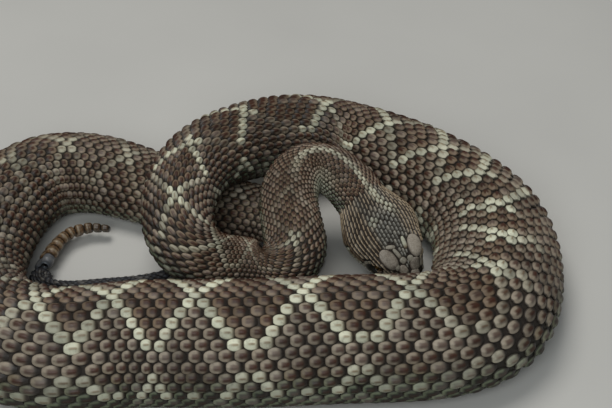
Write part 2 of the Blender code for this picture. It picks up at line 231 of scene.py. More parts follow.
# Plates of each side: share of the length, place, length, width, turn, dome, bluntness and looks, which
# also say how the place is read: by height up the side, or by distance from the middle under the chin.
SIDE_PLATES = [
    (0.975, 2.6, 2.4, 3.8, 0, 0.4, 3.0, "side"),
    (0.918, 2.6, 2.9, 3.6, 0, 0.4, 3.0, "side"),
    (0.865, 4.3, 3.2, 2.4, 0, 0.4, 3.0, "side"),
    (0.805, 5.9, 4.2, 2.2, 0, 0.4, 3.0, "side"),
    (0.805, 3.0, 3.4, 2.4, 0, 0.4, 3.0, "side"),
    (0.875, -0.9, 2.6, 1.8, 0, 0.4, 3.0, "side"),
    (0.82, 0.4, 1.8, 2.6, 0, 0.4, 3.0, "side"),
    (0.895, 0.9, 1.8, 2.4, 0, 0.4, 3.0, "side"),
    (0.80, 2.5, 8.6, 4.6, 3, 0.4, 2.8, "chin"),
]
# Plates on the crown: share of the length, place to the left, length, width, turn, dome, bluntness and looks.
CROWN_PLATES = [
    (0.662, -7.9, 12.8, 7.8, 15, 1.0, 2.2, "plate"),
    (0.668, 8.5, 12.8, 7.8, -5, 1.0, 2.2, "plate"),
    (0.560, -4.2, 2.3, 5.6, -24, 0.6, 2.6, "rim_plate"),
    (0.655, -2.4, 7.2, 2.2, 14, 0.6, 2.6, "rim_plate"),
    (0.590, 3.9, 7.4, 2.2, -6, 0.7, 2.6, "pale_bar"),
    (0.748, -0.9, 4.4, 3.6, 30, 0.7, 2.3, "rim_plate"),
    (0.838, -2.9, 6.0, 4.9, 12, 0.8, 2.6, "plate"),
    (0.838, 4.6, 7.4, 6.2, -8, 0.9, 2.6, "plate"),
    (0.768, 3.2, 4.0, 3.4, 0, 0.5, 2.4, "rim_plate"),
    (0.925, -2.75, 4.8, 5.2, -4, 0.7, 2.8, "plate"),
    (0.925, 2.75, 4.8, 5.2, 4, 0.7, 2.8, "plate"),
    (0.858, -7.2, 5.4, 3.0, 10, 0.5, 2.6, "side"),
    (0.858, 9.2, 5.4, 3.0, -10, 0.5, 2.6, "side"),
    (0.775, -5.6, 3.6, 3.0, 12, 0.5, 2.4, "rim_plate"),
]
# The front plate over the mouth and the one under it: height of the middle, width, height of the plate,
# dome, how far it faces up, and looks.
FRONT_PLATES = [(0.7, 6.8, 4.8, 0.6, 0.02, "lip"), (-5.1, 5.2, 3.6, 0.4, -0.45, "low_lip")]
FRONT_SHARE = 0.985
# Lip plates of a side: how many, the span of the head's length that they take, heights of the upper and the
# lower ones, and half the gap between them.
LIP_PLATES = 14
LIP_SPAN = (0.335, 0.968)
LIP_HEIGHTS = (3.3, 2.9)
LIP_GAP = 0.25
# Plates under and beside an eye: how many, radius of their ring, its start and span in degrees, how far out
# from the eye's middle they lie, and length and width of one.
EYE_RING = 11
EYE_RING_RADIUS = 4.6
EYE_RING_TURNS = (158, 224)
EYE_RING_OUT = 2.2
EYE_RING_SIZE = (1.9, 2.3)
# How far small scales stay from the middles of the eye and the pit, and how far the pit is from the head's.
EYE_CLEAR = 4.7
PIT_CLEAR = 2.2
PIT_SIDE = 11.0
# A pale spot on the crown: ahead of the nape, to the left, and radius.
CROWN_SPOT = (12.8, -6.0, 2.6)
PLATE_THICK = 0.5
# Looks of the plates, as marks for their paint: pale, brown, low and how much of a shield.
LOOKS = {
    "plate": (0.0, 0.0, 0.0, 1.0),
    "rim_plate": (0.12, 0.0, 0.0, 0.7),
    "pale_bar": (0.75, 0.0, 0.0, 0.6),
    "side": (0.0, 0.5, 0.2, 0.3),
    "lip": (0.25, 0.0, 0.5, 0.3),
    "low_lip": (0.3, 0.0, 0.8, 0.0),
    "chin": (0.2, 0.0, 1.0, 0.0),
}

# The photo's camera: what it looks at and where it stands, in metres, and its lens and sensor.
CAMERA_TARGET = (0.03599, 0.05684, 0.0)
CAMERA_PLACE = (0.03599, -0.58304, 0.53692)
CAMERA_LENS = 85
CAMERA_SENSOR = 36
CAMERA_NEAR = 0.01
# Lamps: name, place and target in metres, power in watts and tint. Their size is in metres as well.
LAMPS = [
    ("sky_light", (-0.2, 0.2, 1.4), (0, 0, 0), 8.2, (1.0, 0.99, 0.96)),
    ("front_light", (-0.15, -1.0, 0.95), (0.02, 0, 0), 6.6, (0.93, 0.98, 1.0)),
]
LAMP_SIZE = 0.8
WORLD_TINT = (0.9, 0.95, 1.0, 1)
WORLD_STRENGTH = 0.16
FLOOR_REACH = 4000.0

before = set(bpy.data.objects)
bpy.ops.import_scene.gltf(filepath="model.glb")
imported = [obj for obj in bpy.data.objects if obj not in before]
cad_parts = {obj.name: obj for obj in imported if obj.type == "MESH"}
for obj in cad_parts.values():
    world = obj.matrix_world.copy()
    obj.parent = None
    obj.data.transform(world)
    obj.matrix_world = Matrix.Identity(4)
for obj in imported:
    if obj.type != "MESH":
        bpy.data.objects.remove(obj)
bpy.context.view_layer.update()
draws = np.random.default_rng(11)


# Curves and the surface


def table_at(table, distance, column=1):
    table = np.array(table, float)
    return np.interp(distance, table[:, 0], table[:, column])


def smooth(values, spread, step):
    """Values smoothed along their first axis, with both ends kept."""
    values = values.copy()
    for _ in range(round(2 * (spread / step) ** 2)):
        values[1:-1] = 0.25 * values[:-2] + 0.5 * values[1:-1] + 0.25 * values[2:]
    return values


def through(points, steps=16):
    """A smooth curve through the points."""
    points = np.array(points, float)
    points = np.vstack([2 * points[0] - points[1], points, 2 * points[-1] - points[-2]])
    t = np.linspace(0, 1, steps, endpoint=False)[:, None]
    spans = []
    for a, b, c, d in zip(points, points[1:], points[2:], points[3:]):
        spans.append(b + 0.5 * t * (c - a + t * (2 * a - 5 * b + 4 * c - d + t * (3 * b - 3 * c + d - a))))
    spans.append(points[-2][None])
    return np.vstack(spans)


def spaced(curve, step):
    """The curve's points at an even spacing, and their distances along it."""
    along = np.r_[0, np.cumsum(np.linalg.norm(np.diff(curve, axis=0), axis=1))]
    at = np.linspace(0, along[-1], int(along[-1] / step) + 1)
    return np.stack([np.interp(at, along, curve[:, k]) for k in range(3)], axis=-1), at


def unit(vectors):
    return vectors / np.maximum(np.linalg.norm(vectors, axis=-1, keepdims=True), 1e-9)


def ease(value, low, high):
    """Rises smoothly from 0 at low to 1 at high."""
    t = np.clip((value - low) / (high - low), 0, 1)
    return t * t * (3 - 2 * t)


def between(value, low, high):
    return (value > low) & (value < high)


def power(values, exponent):
    return np.sign(values) * np.abs(values) ** exponent


class Surface:
    """The animal's outer surface, read by distance along it and share of the girth round it."""

    def __init__(self):
        body = self.body_frames()
        head = self.head_frames(body)
        self.distance = np.r_[head["distance"], body["distance"][1:]]
        self.first = self.distance[0]
        self.last = self.distance[-1]
        join = {key: np.concatenate([head[key], body[key][1:]]) for key in ("centre", "back", "up", "sizes")}
        near = np.exp(-(self.distance / (3 * NAPE_SPREAD)) ** 2)[:, None]
        for key in ("centre", "back", "up"):
            join[key] = join[key] * (1 - near) + smooth(join[key], NAPE_SPREAD, GRID_STEP) * near
        self.centre = join["centre"]
        self.back = unit(join["back"])
        self.up = unit(join["up"] - self.back * np.sum(join["up"] * self.back, axis=1, keepdims=True))
        self.side = np.cross(self.back, self.up)
        self.lay_grid(join["sizes"])

    def body_frames(self):
        route = np.array(ROUTE, float) + (*CENTRE, 0)
        fine, _ = spaced(through(route), LINE_STEP)
        line, distance = spaced(smooth(fine, LINE_SPREAD, LINE_STEP), GRID_STEP)
        coarse = np.arange(0, distance[-1], LINE_STEP)
        sizes = [smooth(table_at(GIRTH, coarse, column), GIRTH_SPREAD, LINE_STEP) for column in (1, 2)]
        width, height = (np.interp(distance, coarse, values) for values in sizes)
        way = np.gradient(line, axis=0)
        tight = np.exp(-((distance - TIGHT_BEND[0]) / TIGHT_BEND[1]) ** 2)[:, None]
        even = smooth(way, WAY_SPREAD, GRID_STEP)
        back = unit(even * (1 - tight) + smooth(way, TIGHT_BEND[2], GRID_STEP) * tight)
        up = unit(np.array([0, 0, 1.0]) - back * back[:, 2:3])
        low = AXIS_SHARE * height
        centre = line + up * low[:, None]
        sizes = np.stack([width, height - low, low, np.ones_like(low), np.zeros_like(low)], axis=-1)
        return {"distance": distance, "centre": centre, "back": back, "up": up, "sizes": sizes}

    def head_frames(self, body):
        self.nape = body["centre"][0]
        snout = np.array(SNOUT) + (*CENTRE, 0)
        self.head_length = float(np.linalg.norm(snout - self.nape))
        self.forward = (snout - self.nape) / self.head_length
        level = unit(np.cross((0, 0, 1.0), self.forward))
        self.left = level * cos(radians(HEAD_ROLL)) + np.cross(self.forward, level) * sin(radians(HEAD_ROLL))
        self.crown = np.cross(self.forward, self.left)
        share = np.linspace(1, 0, int(self.head_length / GRID_STEP) + 1)
        turned = ease(share, 0, HEAD_TURN)[:, None]
        aim = unit(-body["back"][0] * (1 - turned) + self.forward * turned)
        up = body["up"][0] * (1 - turned) + self.crown * turned
        profile = through(HEAD)
        sizes = np.stack([np.interp(share, profile[:, 0], profile[:, k]) for k in (1, 2, 3, 4)], axis=-1)
        tip = np.clip((share - SNOUT_ROUND) / (1.003 - SNOUT_ROUND), 0, 1)
        sizes[:, :3] *= np.sqrt(1 - tip ** 2)[:, None]
        style = ease(share * self.head_length, 0, NAPE_BLEND)
        centre = self.nape + np.outer(share * self.head_length, self.forward)
        return {"distance": -share * self.head_length, "centre": centre, "back": -aim, "up": up,
                "sizes": np.column_stack([sizes, style])}

    def lay_grid(self, sizes):
        """Sideways and upward offsets of each section, at even steps round its girth."""
        turn = np.linspace(-pi, pi, SECTION_POINTS)
        wide, high, low, square, style = (sizes[:, k:k + 1] for k in range(5))
        ridge = SPINE_RIDGE * (high + low) * np.exp(-(turn / RIDGE_REACH) ** 2)
        body_rise = np.maximum(np.where(np.cos(turn) > 0, high, low * LOW_BULGE) * np.cos(turn), -low) + ridge
        body_across = wide * np.sin(turn) * (1 - FLANK_DROP * np.cos(turn))
        head_rise = np.where(np.cos(turn) > 0, high, low) * power(np.cos(turn), square)
        head_across = wide * power(np.sin(turn), square)
        across = body_across * (1 - style) + head_across * style
        rise = body_rise * (1 - style) + head_rise * style
        arc = np.cumsum(np.hypot(np.diff(across, axis=1), np.diff(rise, axis=1)), axis=1)
        arc = np.hstack([np.zeros((len(arc), 1)), arc])
        self.girth = np.maximum(arc[:, -1], 0.5)
        even = np.linspace(0, 1, GRID_ROUND + 1)
        self.across = np.array([np.interp(even * a[-1], a, v) for a, v in zip(arc, across)])
        self.rise = np.array([np.interp(even * a[-1], a, v) for a, v in zip(arc, rise)])

    def station(self, distance):
        at = np.interp(distance, self.distance, np.arange(len(self.distance)))
        near = np.minimum(at.astype(int), len(self.distance) - 2)
        return near, at - near

    def along(self, values, distance):
        """One of the arrays along the animal, read at these distances."""
        near, part = self.station(distance)
        part = part.reshape(part.shape + (1,) * (values.ndim - 1))
        return values[near] * (1 - part) + values[near + 1] * part

    def girth_at(self, distance):
        return self.along(self.girth, distance)

    def section(self, distance, share):
        """Sideways and upward offsets of places round the sections."""
        near, part = self.station(distance)
        at = (share + 0.5) % 1.0 * GRID_ROUND
        left = np.minimum(at.astype(int), GRID_ROUND - 1)
        over = at - left
        found = []
        for grid in (self.across, self.rise):
            here = grid[near, left] * (1 - over) + grid[near, left + 1] * over
            there = grid[near + 1, left] * (1 - over) + grid[near + 1, left + 1] * over
            found.append(here * (1 - part) + there * part)
        return np.array(found)

    def at(self, distance, share, lift=0.0):
        """Points and normals of the surface, raised by a lift."""
        distance, share = np.broadcast_arrays(np.asarray(distance, float), np.asarray(share, float))
        axes = (self.centre, self.back, self.up, self.side)
        centre, back, up, side = (self.along(values, distance) for values in axes)

        def in_space(offsets):
            return offsets[0][..., None] * side + offsets[1][..., None] * up

        point = centre + in_space(self.section(distance, share))
        step, turn = NORMAL_STEPS
        round_way = in_space(self.section(distance, share + turn) - self.section(distance, share - turn))
        length_way = in_space(self.section(distance + step, share) - self.section(distance - step, share))
        normal = unit(np.cross(round_way, 2 * step * back + length_way))
        lift = np.asarray(lift) + self.relief(distance, point)
        return point + lift[..., None] * normal, normal

    def head_place(self, point):
        """Forward, left and up of points, from the nape, in the head's own frame."""
        offset = point - self.nape
        return offset @ self.forward, offset @ self.left, offset @ self.crown

    def from_spot(self, ahead, up, share, rise):
        """How far places on the head's side are from one at a share of its length and a height."""
        return np.hypot(ahead - share * self.head_length, up - rise)

    def relief(self, distance, point):
        """Brow, eye socket, pit, nostril and lips of the head, as heights over its sections."""
        raised = np.zeros(distance.shape)
        head = distance < 0
        if not head.any():
            return raised
        ahead, left, up = self.head_place(point[head])
        flank = ease(np.abs(left), 3.5, 6.0)
        outer = ease(np.abs(left), 7.0, 9.0) * ease(up, -3.0, -1.0)
        share, rise, reach, band, height = BROW
        bell = np.exp(-((ahead - share * self.head_length) / reach) ** 4 - ((up - rise) / band) ** 2)
        off = self.from_spot(ahead, up, EYE_PLACE[0], EYE_PLACE[2])
        found = height * bell * flank * (1 - outer * (1 - ease(off, *BROW_EDGE)))
        lid = LID[0] * np.exp(-((off - LID[1]) / LID[2]) ** 2)
        found += outer * (lid - SOCKET_DEPTH * (1 - ease(off, *SOCKET_EDGE)))
        for share, rise, depth, *edge in (PIT, NOSTRIL):
            found -= depth * flank * (1 - ease(self.from_spot(ahead, up, share, rise), *edge))
        lip = up - table_at(MOUTH, ahead / self.head_length)
        behind = ease(ahead / self.head_length, 0.27, 0.33)
        found -= LIP_GROOVE[1] * np.exp(-(lip / LIP_GROOVE[0]) ** 2) * behind
        raised[head] = found
        return raised

    def stretch(self, distance, share):
        """How much longer the surface is here than the axis."""
        ahead, _ = self.at(distance + 1.0, share)
        behind, _ = self.at(distance - 1.0, share)
        return np.sum((ahead - behind) * self.along(self.back, distance), axis=-1) / 2

    def half_section(self, grid, distance):
        """One side of a section's offsets, from the spine to under the belly."""
        near, _ = self.station(np.asarray(float(distance)))
        return grid[int(near)][GRID_ROUND // 2:]

    def share_at(self, distance, rise, hand):
        """The place round a section where its side has this rise."""
        column = self.half_section(self.rise, distance)
        return hand * float(np.interp(-rise, -column, np.arange(len(column)))) / GRID_ROUND

    def share_across(self, distance, across, hand, under=False):
        """The place round a section this far from the middle, on the crown or under the chin."""
        column = self.half_section(self.across, distance)
        widest = int(np.argmax(column))
        if under:
            at = np.interp(-across, -column[widest:], np.arange(widest, len(column)))
        else:
            at = np.interp(across, column[:widest + 1], np.arange(widest + 1))
        return hand * float(at) / GRID_ROUND


surface = Surface()


# The lattice of scales and its markings


class Lattice:
    """Rows along the body and turns along a row, both counted in scales."""

    def __init__(self):
        self.distance = np.arange(surface.first, surface.last, COUNT_STEP)
        place, number, self.pale, self.patch = np.array(DIAMONDS).T
        self.meets = np.r_[0, np.cumsum(number[:-1])]
        usual = np.cumsum(COUNT_STEP / table_at(PITCH, self.distance))
        first, last = np.interp([place[0], place[-1]], self.distance, usual)
        count = np.interp(self.distance, place, self.meets)
        count = np.where(self.distance < place[0], usual - first, count)
        count = np.where(self.distance > place[-1], usual - last + self.meets[-1], count)
        self.count = smooth(count, COUNT_SPREAD, COUNT_STEP)

    def pitch(self, distance):
        """Length of one scale's turn in its row."""
        ahead, behind = (np.interp(distance + step, self.distance, self.count) for step in (1.0, -1.0))
        return 2.0 / np.maximum(ahead - behind, 0.1)

    def row_width(self, distance):
        edge = table_at(BELLY_EDGE, distance) * surface.girth_at(distance)
        return edge / (table_at(ROWS, distance) + 0.5)

    def share(self, distance, row):
        """The place round the body of a row."""
        return (row + table_at(ROLL, distance)) * self.row_width(distance) / surface.girth_at(distance)

    def row(self, distance, share):
        """The row, not rounded, at a place of the surface."""
        return share * surface.girth_at(distance) / self.row_width(distance) - table_at(ROLL, distance)

    def scales(self, start, end, rows):
        """Distance, place round, count and row of the scales between two distances."""
        first, last = np.interp([start, end], self.distance, self.count)
        found = []
        for row in range(-rows, rows + 1):
            odd = 0.5 * (row % 2)
            count = np.arange(np.ceil(first - odd), np.ceil(last - odd)) + odd
            distance = np.interp(count, self.count, self.distance)
            found.append(np.stack([distance, self.share(distance, row), count, np.full_like(count, row)]))
        return np.hstack(found)

    def on_border(self, from_start, from_end, row, distance, corner):
        """Whether scales are on a diamond's border: slanting, along its corner, or straight across."""
        side = np.abs(row)
        reach = 2 * np.minimum(from_start, from_end)
        flat = (np.abs(side - corner) < 0.5) & (reach >= corner)
        slanting = (np.abs(reach - side) < 0.5) & (side <= corner) | flat
        straight = (row > 0.5) & between(distance, *STRAIGHT_LEFT)
        straight = straight | (row < -0.5) & between(distance, *STRAIGHT_RIGHT)
        across = ((from_end < 0.6) | (from_start < 0.1)) & (side <= corner)
        return np.where(straight & (from_end < 3), across, slanting)

    def diamonds(self, count, row, distance):
        """How pale and how dark the diamonds, and the marks on the flank below them, make scales."""
        side = np.abs(row)
        k = np.clip(np.searchsorted(self.meets, count) - 1, 0, len(self.meets) - 2)
        start, end, strength = self.meets[k], self.meets[k + 1], self.pale[k]
        inside = (count >= self.meets[0]) & (count <= self.meets[-1])
        from_start, from_end = count - start, end - count
        near = np.minimum(from_start, from_end)
        corner = np.minimum(DIAMOND_ROWS, end - start)
        border = self.on_border(from_start, from_end, row, distance, corner)
        tailward = (from_start < from_end) & (from_start > 0.1) & (side > 0.5)
        weaker = np.where(tailward, table_at(TAILWARD_BORDER, distance), 1.0)
        pale = np.where(border & inside, strength * weaker, 0)
        patch = np.where(from_start < from_end, self.patch[k], self.patch[k + 1])
        pale = np.maximum(pale, np.where(inside & (near < 0.8) & (side < 1.6) & (row > -1.2), patch, 0))
        faded = np.exp(-((distance - FADED_BEND[0]) / FADED_BEND[1]) ** 4) * ease(-row, 1.5, 3.5)
        beyond = np.minimum(np.abs(count - (start + end) / 2), near + 1.0) - 0.5 * (side - 8)
        second = between(beyond, -0.2, 0.7) & between(side, *SECOND_ROWS)
        pale = np.where(second & inside, 0.6 * strength * (1 - 0.5 * faded), pale * (1 - 0.55 * faded))
        depth = np.minimum(2 * near, corner) - side
        dark = np.where(inside, ease(depth, 0.2, 1.6), 0) * np.clip(0.3 + strength, 0, 1)
        blotch = ease(side, 6.6, 7.6) * (1 - ease(side, 10.5, 12.5)) * (1 - ease(near, 0.8, 1.8))
        return pale, np.maximum(dark, np.where(inside & ~second, 0.85 * blotch, 0))

    def marks(self, count, row):
        """Pale, dark and low flank at scales of the lattice, each from 0 to 1."""
        distance = np.interp(count, self.count, self.distance)
        pale, dark = self.diamonds(count, row, distance)
        away = table_at(NECK_LINE, distance) - row
        glow = table_at(NECK_LINE, distance, 2)
        stripe = 0.7 * glow * (1 - ease(np.abs(away), 0.6, 1.5))
        olive = 0.3 * ease(away, 5.0, 7.0) * ease(distance, 8, 20) * (1 - ease(distance, 50, 70))
        beside = ease(away, 1.4, 2.2) * (1 - ease(away, 9.0, 12.0)) * ease(glow, 0.2, 0.6)
        pale = np.maximum(np.maximum(pale, stripe), olive)
        dark = np.maximum(np.maximum(dark, table_at(BROWN, distance)), 0.9 * beside)
        return pale, dark, ease(np.abs(row), *LOW_ROWS)


lattice = Lattice()


# Patches of coat


def patch_grid(detail):
    """Places along and across a patch, with a last line of each that folds under as its rim."""
    along, beside = GRIDS[detail]
    across = np.array([-1.0] + [-b for b in beside[::-1]] + [0] + beside + [1.0])
    u = np.array(along + [1.0])
    rim = np.zeros((len(u), len(across)))
    rim[:, 0] = rim[:, -1] = rim[-1] = 1
    return u[:, None] + 0 * across, across + 0 * u[:, None], rim


def leaf(u, blunt):
    """Half width of a scale along its length, as a share: narrow at the root and round at the tip."""
    tip = 1 - np.clip((u - 0.52) / (0.48 + 0.012), 0, 1) ** blunt
    return np.where(u < 0.52, 0.45 + 0.55 * np.sin(0.5 * pi * u / 0.52), np.maximum(tip, 0) ** 0.5)


def per_scale(values):
    """One number a scale, in the shape that spreads over the grids of vertices."""
    return np.asarray(values, float).reshape(-1, 1, 1)


def lay_scales(items, detail, blunt=2.4):
    """Vertices, their data and places on the picture of a set of scales.

    The items hold distance, place round, length, width, thickness, dome, keel, tilt, tone and four marks.
    """
    u, v, rim = patch_grid(detail)
    column = {key: per_scale(value) for key, value in items.items() if key != "marks"}
    half = column["width"] / 2 * leaf(u, blunt)
    stretch = np.maximum(surface.stretch(column["distance"], column["share"]), 0.35)
    distance = column["distance"] + (u - 0.5) * column["length"] / stretch
    share = column["share"] + v * half / surface.girth_at(column["distance"])
    crown = np.maximum(1 - np.abs(v) ** 2.2, 0) * np.sin(pi * np.clip(0.06 + 0.86 * u, 0, 1)) ** 0.7
    keel = np.exp(-(v / 0.15) ** 2) * ease(u, 0.08, 0.3) * (1 - ease(u, 0.80, 0.97))
    thick = column["thick"]
    lift = thick * (-0.75 - 0.45 * (1 - ease(u, 0, 0.25)) + column["tilt"] * u)
    lift = lift + thick * (column["dome"] * crown + column["keel"] * keel) - thick * 0.8 * rim
    points, _ = surface.at(distance, share, lift)
    points[..., 2] = np.maximum(points[..., 2], SCALE_FLOOR)
    place = np.stack(np.broadcast_arrays(u, np.abs(v), rim, column["tone"]), axis=-1)
    marks = np.broadcast_to(items["marks"][:, None, None, :], lift.shape + (4,))
    uv = np.stack([column["u"] + (u - 0.5) * column["cell_u"], column["v"] + v * column["cell_v"]], axis=-1)
    return points, place, marks, uv


def picture_cells(distance, share, ends, pitch, width, fill, cell):
    """Middles of scales on the picture that the mesh is baked to, and the sizes of their cells there."""
    start, end = ends
    return {
        "u": (distance - start) / (end - start) * fill + (1 - fill) / 2,
        "v": share * fill + 0.5,
        "cell_u": cell * pitch / (end - start) * fill,
        "cell_v": cell / 2 * width / surface.girth_at(distance) * fill,
    }


def grid_faces(patches, rows, columns):
    """Quads of many separate grids of vertices."""
    index = np.arange(rows * columns).reshape(rows, columns)
    quads = np.stack([index[:-1, :-1], index[:-1, 1:], index[1:, 1:], index[1:, :-1]], axis=-1).reshape(-1, 4)
    return (quads + (np.arange(patches) * rows * columns)[:, None, None]).reshape(-1, 4)


def ring_faces(rows, columns):
    """Quads of a tube of rings of vertices."""
    index = np.arange(rows * columns).reshape(rows, columns)
    after = np.roll(index, -1, axis=1)
    return np.stack([index[:-1], after[:-1], after[1:], index[1:]], axis=-1).reshape(-1, 4)


def ring_uv(u, v):
    """Places on the picture of the corners of a tube's quads, from its lines along and round."""
    grid = np.stack(np.meshgrid(u, v, indexing="ij"), axis=-1)
    return np.stack([grid[:-1, :-1], grid[:-1, 1:], grid[1:, 1:], grid[1:, :-1]], axis=2).reshape(-1, 2)


def quad_mesh(name, points, faces, uv=None, attributes=None):
    """A smooth mesh of quads, from points in millimetres."""
    mesh = bpy.data.meshes.new(name)
    mesh.vertices.add(len(points))
    mesh.vertices.foreach_set("co", (points * MM).astype(np.float32).ravel())
    mesh.loops.add(faces.size)
    mesh.loops.foreach_set("vertex_index", faces.astype(np.int32).ravel())
    mesh.polygons.add(len(faces))
    mesh.polygons.foreach_set("loop_start", np.arange(0, faces.size, 4, dtype=np.int32))
    mesh.update(calc_edges=True)
    mesh.shade_smooth()
    if uv is not None:
        layer = mesh.uv_layers.new(name="OFBake")
        layer.uv.foreach_set("vector", uv.astype(np.float32).ravel())
    for key, values in (attributes or {}).items():
        layer = mesh.attributes.new(key, "FLOAT_COLOR", "POINT")
        layer.data.foreach_set("color", values.astype(np.float32).ravel())
    return mesh


def put(name, data):
    """A new object in the scene."""
    thing = bpy.data.objects.new(name, data)
    bpy.context.scene.collection.objects.link(thing)
    return thing


def show(name, mesh, material, replaces=()):
    """A visible piece of the animal and the nodes that it replaces."""
    thing = put(name, mesh)
    mesh.materials.append(material)
    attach(thing, "root")
    if replaces:
        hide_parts(*replaces)


def coat_mesh(name, groups):
    """One mesh from several sets of laid scales."""
    points, places, marks, uvs, faces = [], [], [], [], []
    start = 0
    for laid_points, place, mark, uv in groups:
        patches, rows, columns = laid_points.shape[:3]
        quads = grid_faces(patches, rows, columns)
        faces.append(quads + start)
        start += patches * rows * columns
        points.append(laid_points.reshape(-1, 3))
        places.append(place.reshape(-1, 4))
        marks.append(mark.reshape(-1, 4))
        uvs.append(uv.reshape(-1, 2)[quads.ravel()])
    attributes = {"place": np.vstack(places), "marks": np.vstack(marks)}
    return quad_mesh(name, np.vstack(points), np.vstack(faces), np.vstack(uvs), attributes)


# Shader trees


def colour(red, green, blue):
    """A linear colour from the 0 to 255 values that a picture of it has."""
    def linear(value):
        value = value / 255
        return value / 12.92 if value <= 0.04045 else ((value + 0.055) / 1.055) ** 2.4
    return (linear(red), linear(green), linear(blue), 1.0)


class Link:
    """A socket in a shader tree, for sums on its value."""

    def __init__(self, paint, socket):
        self.paint = paint
        self.socket = socket

    def math(self, operation, *values):
        return self.paint.node("ShaderNodeMath", {"operation": operation}, dict(enumerate(values)))

    def __add__(self, other):
        return self.math("ADD", self, other)

    __radd__ = __add__

    def __sub__(self, other):
        return self.math("SUBTRACT", self, other)

    def __rsub__(self, other):
        return self.math("SUBTRACT", other, self)

    def __mul__(self, other):
        return self.math("MULTIPLY", self, other)

    __rmul__ = __mul__

    def __pow__(self, other):
        return self.math("POWER", self, other)

    def most(self, other):
        return self.math("MAXIMUM", self, other)

    def rises(self, low, high):
        """0 below low and 1 above high, smooth between."""
        settings = {"interpolation_type": "SMOOTHSTEP"}
        return self.paint.node("ShaderNodeMapRange", settings, {0: self, 1: low, 2: high, 3: 0.0, 4: 1.0})


class Paint:
    """A material with a Principled shader, and its tree of nodes."""

    def __init__(self, name, **constants):
        self.material = bpy.data.materials.new(name)
        self.material.use_nodes = True
        self.tree = self.material.node_tree
        self.shader = self.tree.nodes["Principled BSDF"]
        for key, value in constants.items():
            self.shader.inputs[key.replace("_", " ")].default_value = value

    def feed(self, socket, value):
        if isinstance(value, Link):
            self.tree.links.new(value.socket, socket)
        else:
            socket.default_value = value

    def node(self, kind, settings, values, output=0):
        made = self.tree.nodes.new(kind)
        for key, value in settings.items():
            setattr(made, key, value)
        for key, value in values.items():
            self.feed(made.inputs[key], value)
        return Link(self, made.outputs[output])

    def mix(self, first, second, factor):
        settings = {"data_type": "RGBA", "clamp_factor": True}
        return self.node("ShaderNodeMix", settings, {0: factor, 6: first, 7: second}, 2)

    def layers(self, base, *coats):
        """A base with coats over it in turn, each given by its colour and how much of it there is."""
        for shade, amount in coats:
            base = self.mix(base, shade, amount)
        return base

    def parts(self, name):
        """The four numbers of a mesh attribute."""
        made = self.node("ShaderNodeAttribute", {"attribute_name": name}, {})
        split = self.node("ShaderNodeSeparateColor", {}, {0: made})
        numbers = [Link(self, split.socket.node.outputs[k]) for k in range(3)]
        return [*numbers, Link(self, made.socket.node.outputs["Alpha"])]

    def spot(self):
        return self.node("ShaderNodeTexCoord", {}, {}, "Object")

    def noise(self, scale, detail=3.0, rough=0.5):
        values = {"Vector": self.spot(), "Scale": scale, "Detail": detail, "Roughness": rough}
        return self.node("ShaderNodeTexNoise", {}, values)

    def finish(self, base, roughness=None, height=None, strength=0.3, depth=0.0004):
        """The material, with a bump of this strength and depth in metres where it has a height."""
        self.feed(self.shader.inputs["Base Color"], base)
        if roughness is not None:
            self.feed(self.shader.inputs["Roughness"], roughness)
        if height is not None:
            values = {"Strength": strength, "Distance": depth, "Height": height}
            self.feed(self.shader.inputs["Normal"], self.node("ShaderNodeBump", {}, values))
        return self.material


FLANK = colour(104, 90, 76)
# Paler rim of the flank's scales: partly their own colour, partly a painted highlight on their sides and
# tips.
FLANK_RIM_AND_HIGHLIGHT = colour(160, 148, 130)
DIAMOND = colour(82, 60, 44)
# Paler rim of the diamonds' scales: partly their own colour, partly a painted highlight on their sides and
# tips.
DIAMOND_RIM_AND_HIGHLIGHT = colour(136, 116, 94)
STREAK = colour(70, 37, 22)
CREAM = colour(226, 226, 200)
# Brown of a cream scale's keel streak, also used as painted shade at its root.
CREAM_STREAK_AND_SHADE = colour(150, 128, 96)
# Greenish grey of the low flank, darkened with painted shade of the lower side.
LOW_FLANK_AND_SHADE = colour(30, 35, 26)
# Paler rim of the low flank's scales: partly their own colour, partly a painted highlight on their sides and
# tips.
LOW_RIM_AND_HIGHLIGHT = colour(116, 124, 98)
GROUND_SKIN = colour(44, 38, 33)
PALE_SKIN = colour(70, 60, 46)
BELLY = colour(186, 180, 156)
TAIL = colour(38, 40, 46)
SHADOW = colour(16, 12, 9)


